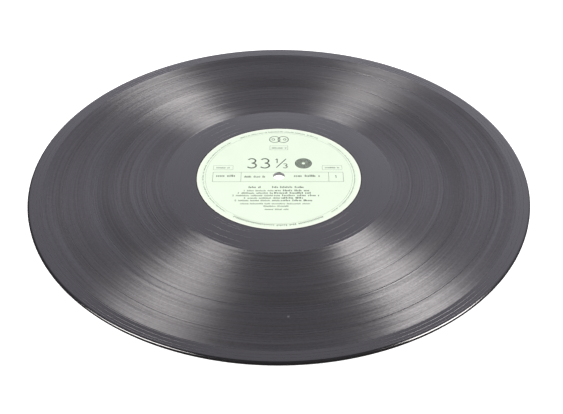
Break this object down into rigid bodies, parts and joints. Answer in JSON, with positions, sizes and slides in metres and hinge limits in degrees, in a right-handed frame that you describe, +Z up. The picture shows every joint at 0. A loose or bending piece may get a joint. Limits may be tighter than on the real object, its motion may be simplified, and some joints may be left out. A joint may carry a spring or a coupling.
{
  "type": "vinyl record",
  "caption": "Flat round record with a raised edge, a groove that winds inwards on each side, a raised centre with a round paper label on each side, and a spindle hole.",
  "frame": {"origin": "centre of the under side, on the spindle hole's axis", "axes": "+Z up through the spindle hole, out of side A; +Y to the top of side A's label; +X to its right"},
  "size_m": [0.3016, 0.3016, 0.0022],
  "materials": {
    "vinyl": "pressed gloss, finely grooved in the playing area",
    "label_paper": "printed uncoated paper"
  },
  "bodies": {
    "root": {"vinyl_disc": "vinyl", "label_side_a": "label_paper", "label_side_b": "label_paper"}
  },
  "joints": []
}
